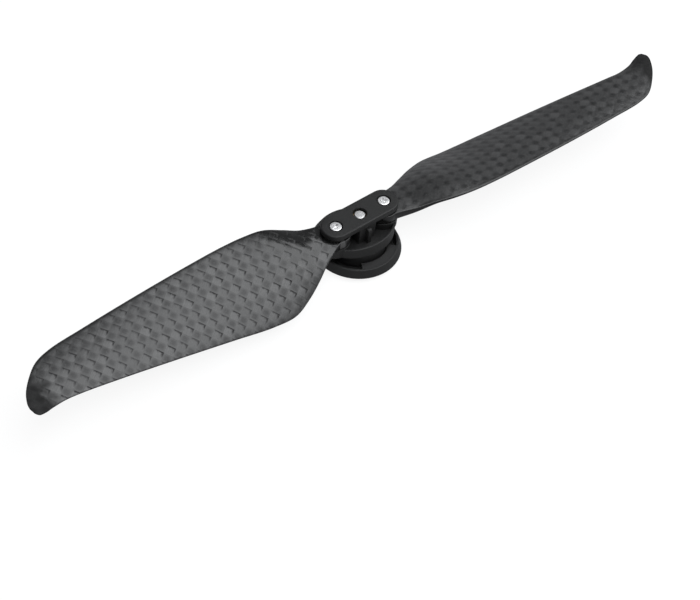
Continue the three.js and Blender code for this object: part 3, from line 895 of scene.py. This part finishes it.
def blade(side):
    stations = root_stations() + BLADE_STATIONS
    packed = np.array([[*le, *te, t, edge, bow] for le, te, t, edge, bow in stations])
    fine = np.linspace(0, 1, 4000)
    rows = np.array([curve_at(packed, t) for t in fine])
    middles = (rows[:, :3] + rows[:, 3:6]) / 2
    run = np.concatenate([[0], np.cumsum(np.linalg.norm(np.diff(middles, axis=0), axis=1))])
    count = int(run[-1] / SPAN_STEP)
    places = np.linspace(0, run[-1], count + 1)
    sections = np.stack([np.interp(places, run, rows[:, k]) for k in range(rows.shape[1])], axis=1)
    grid = []
    maps = []
    for place, row in zip(places, sections):
        points, map_row = blade_section(row, run[-1] - place, math.radians(WEAVE_ANGLE[side]))
        grid.append(points)
        maps.append(map_row)
    around = len(grid[0])
    points = np.concatenate(grid)
    map_of = np.concatenate(maps)
    faces = []
    for i in range(len(grid) - 1):
        for j in range(around):
            k = (j + 1) % around
            faces.append((i * around + j, (i + 1) * around + j, (i + 1) * around + k, i * around + k))
    last = (len(grid) - 1) * around
    faces.append(tuple(range(around)))
    faces.append(tuple(reversed(range(last, last + around))))
    pivot = -PIVOT_X if side == "left" else PIVOT_X
    turn = Matrix.Rotation(math.radians(180 if side == "left" else -RIGHT_LEAD), 3, "Z")
    placed = points @ np.array(turn).T + np.array((pivot, 0, 0))
    corners = map_of[[i for face in faces for i in face]]
    body = make_object(f"blade_{side}_laminate", placed, faces, "weave", corners[:, :2])
    layer = body.data.uv_layers.new(name="reach")
    layer.data.foreach_set("uv", corners[:, 2:].astype(np.float32).ravel())
    bush_r = radius(f"blade_bush_{side}") + BUSH_GAP
    combine(body, [bore("cut", bush_r, 0, (pivot, 0))], "DIFFERENCE")
    body.data.shade_smooth()
    body.data.set_sharp_from_angle(angle=math.radians(50))
    return body


# ---- assembly -----------------------------------------------------------------------------
stands_for(mounting_plate(), "mounting_plate")
stands_for(centre_pin(), "centre_pin")
spring = stands_for(lift_spring(), "lift_spring")
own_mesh(spring)
stands_for(lift_washer(), "lift_washer")
stands_for(hub_base(), "hub_base")
stands_for(centre_bush(), "centre_bush")
stands_for(top_plate(), "top_plate")
for side in ("left", "right"):
    stands_for(pivot_screw(side), f"pivot_screw_{side}")
    for kind in INNER_R:
        stands_for(pivot_ring(kind, side), f"{kind}_{side}")
    stands_for(blade(side), f"blade_{side}", CARBON_RIGHT if side == "right" else None)


# ---- floor, light and camera --------------------------------------------------------------
FLOOR_HALF = 3000
FLOOR_LEVEL = -0.15
LIGHT_TINT = (0.97, 0.985, 1.0)


def floor():
    """A pale floor just under the object, so that their flat faces don't meet."""
    f = Finish("pale_floor", **{"Roughness": 0.9, "Emission Strength": 0.88})
    speckle = f.noise(f.place(), 30.0, 2.0)
    f.show(Base_Color=f.blend(speckle, grey(0.13), grey(0.15)), Emission_Color=grey(1.0))
    outline = [(x * FLOOR_HALF, y * FLOOR_HALF, FLOOR_LEVEL) for x, y in ((-1, -1), (1, -1), (1, 1), (-1, 1))]
    made = make_object("floor", outline, [(0, 1, 2, 3)])
    made.data.materials.append(f.material)
    made.visible_glossy = False


def sky():
    """Dim even light from all round."""
    world = bpy.data.worlds.new("studio")
    world.use_nodes = True
    bpy.context.scene.world = world
    tree = world.node_tree
    tree.nodes.clear()
    output = tree.nodes.new("ShaderNodeOutputWorld")
    background = tree.nodes.new("ShaderNodeBackground")
    coordinates = tree.nodes.new("ShaderNodeTexCoord")
    split = tree.nodes.new("ShaderNodeSeparateXYZ")
    ramp = tree.nodes.new("ShaderNodeValToRGB")
    tree.links.new(coordinates.outputs["Generated"], split.inputs[0])
    tree.links.new(split.outputs[2], ramp.inputs[0])
    tree.links.new(ramp.outputs[0], background.inputs["Color"])
    tree.links.new(background.outputs[0], output.inputs["Surface"])
    levels = [(0.0, 0.09), (0.3, 0.06), (0.6, 0.05), (1.0, 0.09)]
    elements = ramp.color_ramp.elements
    for i, (at, level) in enumerate(levels):
        element = elements[i] if i < 2 else elements.new(at)
        element.position = at
        element.color = (0.97 * level, 0.985 * level, 1.02 * level, 1)
    background.inputs["Strength"].default_value = 3.8


def softbox(name, compass, elevation, size, energy):
    """A round soft light a metre from the hub, facing it."""
    compass, elevation = math.radians(compass), math.radians(elevation)
    data = bpy.data.lights.new(name, "AREA")
    data.shape = "DISK"
    data.size = size
    data.energy = energy
    data.color = LIGHT_TINT
    made = bpy.data.objects.new(name, data)
    bpy.context.scene.collection.objects.link(made)
    made.location = (math.sin(compass) * math.cos(elevation), math.cos(compass) * math.cos(elevation),
                     math.sin(elevation))
    made.rotation_euler = (-made.location).to_track_quat("-Z", "Y").to_euler()


def camera():
    """The view from above the left blade's tip: heading, elevation and roll in degrees."""
    heading, elevation, roll = 44.92, 49.84, 7.62
    data = bpy.data.cameras.new("camera")
    data.sensor_width = 36
    data.lens = 86.55
    data.clip_start = 0.01
    made = bpy.data.objects.new("camera", data)
    bpy.context.scene.collection.objects.link(made)
    made.location = (-0.18571, -0.18677, 0.29285)
    p, e, r = (math.radians(x) for x in (heading, elevation, roll))
    ahead = Vector((math.sin(p) * math.cos(e), math.cos(p) * math.cos(e), -math.sin(e)))
    level = Vector((math.cos(p), -math.sin(p), 0))
    down = Vector((-math.sin(p) * math.sin(e), -math.cos(p) * math.sin(e), -math.cos(e)))
    x_axis = level * math.cos(r) - down * math.sin(r)
    y_axis = -(level * math.sin(r) + down * math.cos(r))
    made.rotation_euler = Matrix((x_axis, y_axis, -ahead)).transposed().to_euler()
    bpy.context.scene.camera = made


floor()
sky()
softbox("softbox_right", 117, 60, 1.4, 11.4)
softbox("softbox_front", 225, 60, 0.35, 1.7)
camera()
bpy.context.scene.view_settings.view_transform = "Standard"
